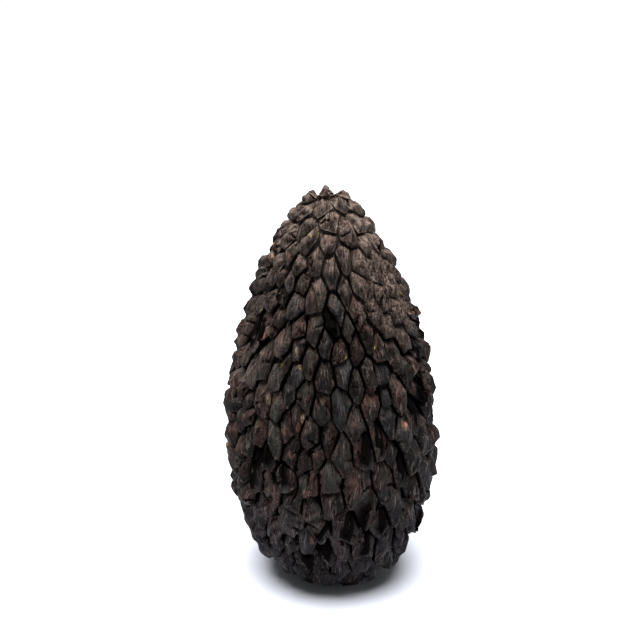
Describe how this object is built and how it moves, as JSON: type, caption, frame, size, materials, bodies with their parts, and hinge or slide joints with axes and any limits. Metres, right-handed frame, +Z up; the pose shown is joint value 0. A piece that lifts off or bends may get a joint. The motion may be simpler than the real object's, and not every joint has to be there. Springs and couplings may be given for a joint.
{
  "type": "black truffle",
  "caption": "Whole black truffle, a tall egg-shaped fungus covered in dark many-sided warts with narrow grooves between them, resting on a small flat spot.",
  "frame": {"origin": "middle of the resting spot under the foot", "axes": "+Z up from the foot to the crown, along the truffle's long axis; -Y towards the viewer; +X to the viewer's right"},
  "size_m": [0.0441, 0.0416, 0.0827],
  "materials": {
    "peridium": "matte, hard and finely grained, with dusty ridges and near-black grooves"
  },
  "bodies": {
    "root": {"truffle": "peridium"}
  },
  "joints": []
}
